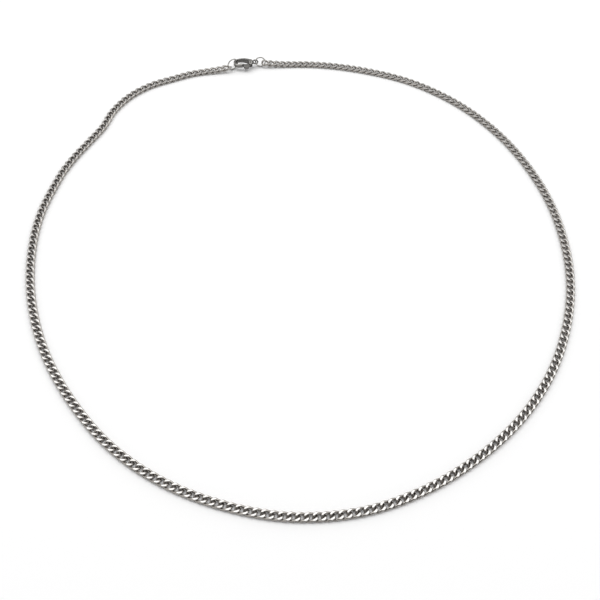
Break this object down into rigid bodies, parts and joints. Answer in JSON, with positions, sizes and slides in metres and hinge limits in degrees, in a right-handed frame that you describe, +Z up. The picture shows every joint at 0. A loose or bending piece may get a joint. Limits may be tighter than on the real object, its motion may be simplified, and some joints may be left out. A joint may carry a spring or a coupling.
{
  "type": "curb chain necklace",
  "caption": "Polished steel curb chain necklace with ground-flat links, closed by jump rings and a lobster clasp with a sprung lever, lying flat in a wide loop.",
  "frame": {"origin": "on the surface the necklace lies on, under the middle of the loop", "axes": "+Z up from the surface, +Y from the front of the loop towards the clasp at the back, +X to the right seen from the front"},
  "size_m": [0.1921, 0.201, 0.0051],
  "materials": {
    "chain_steel": "polished, with ground flats",
    "ring_steel": "polished wire",
    "clasp_steel": "polished casting",
    "lever_steel": "satin"
  },
  "bodies": {
    "necklace": {"chain_right": "chain_steel", "chain_left": "chain_steel", "tail_ring": "ring_steel", "hook_ring": "ring_steel", "clasp_body": "clasp_steel", "lever_pin": "lever_steel"},
    "lever": {"clasp_lever": "lever_steel"}
  },
  "joints": [
    {"name": "lever_hinge", "type": "hinge", "parent": "necklace", "child": "lever", "pos_m": [-0.02626, 0.09511, 0.00211], "axis": [-0.0196, 0.0849, -0.9962], "range_deg": [0, 25], "stiffness_Nm_per_rad": 0.005, "springref_deg": -11.46}
  ]
}
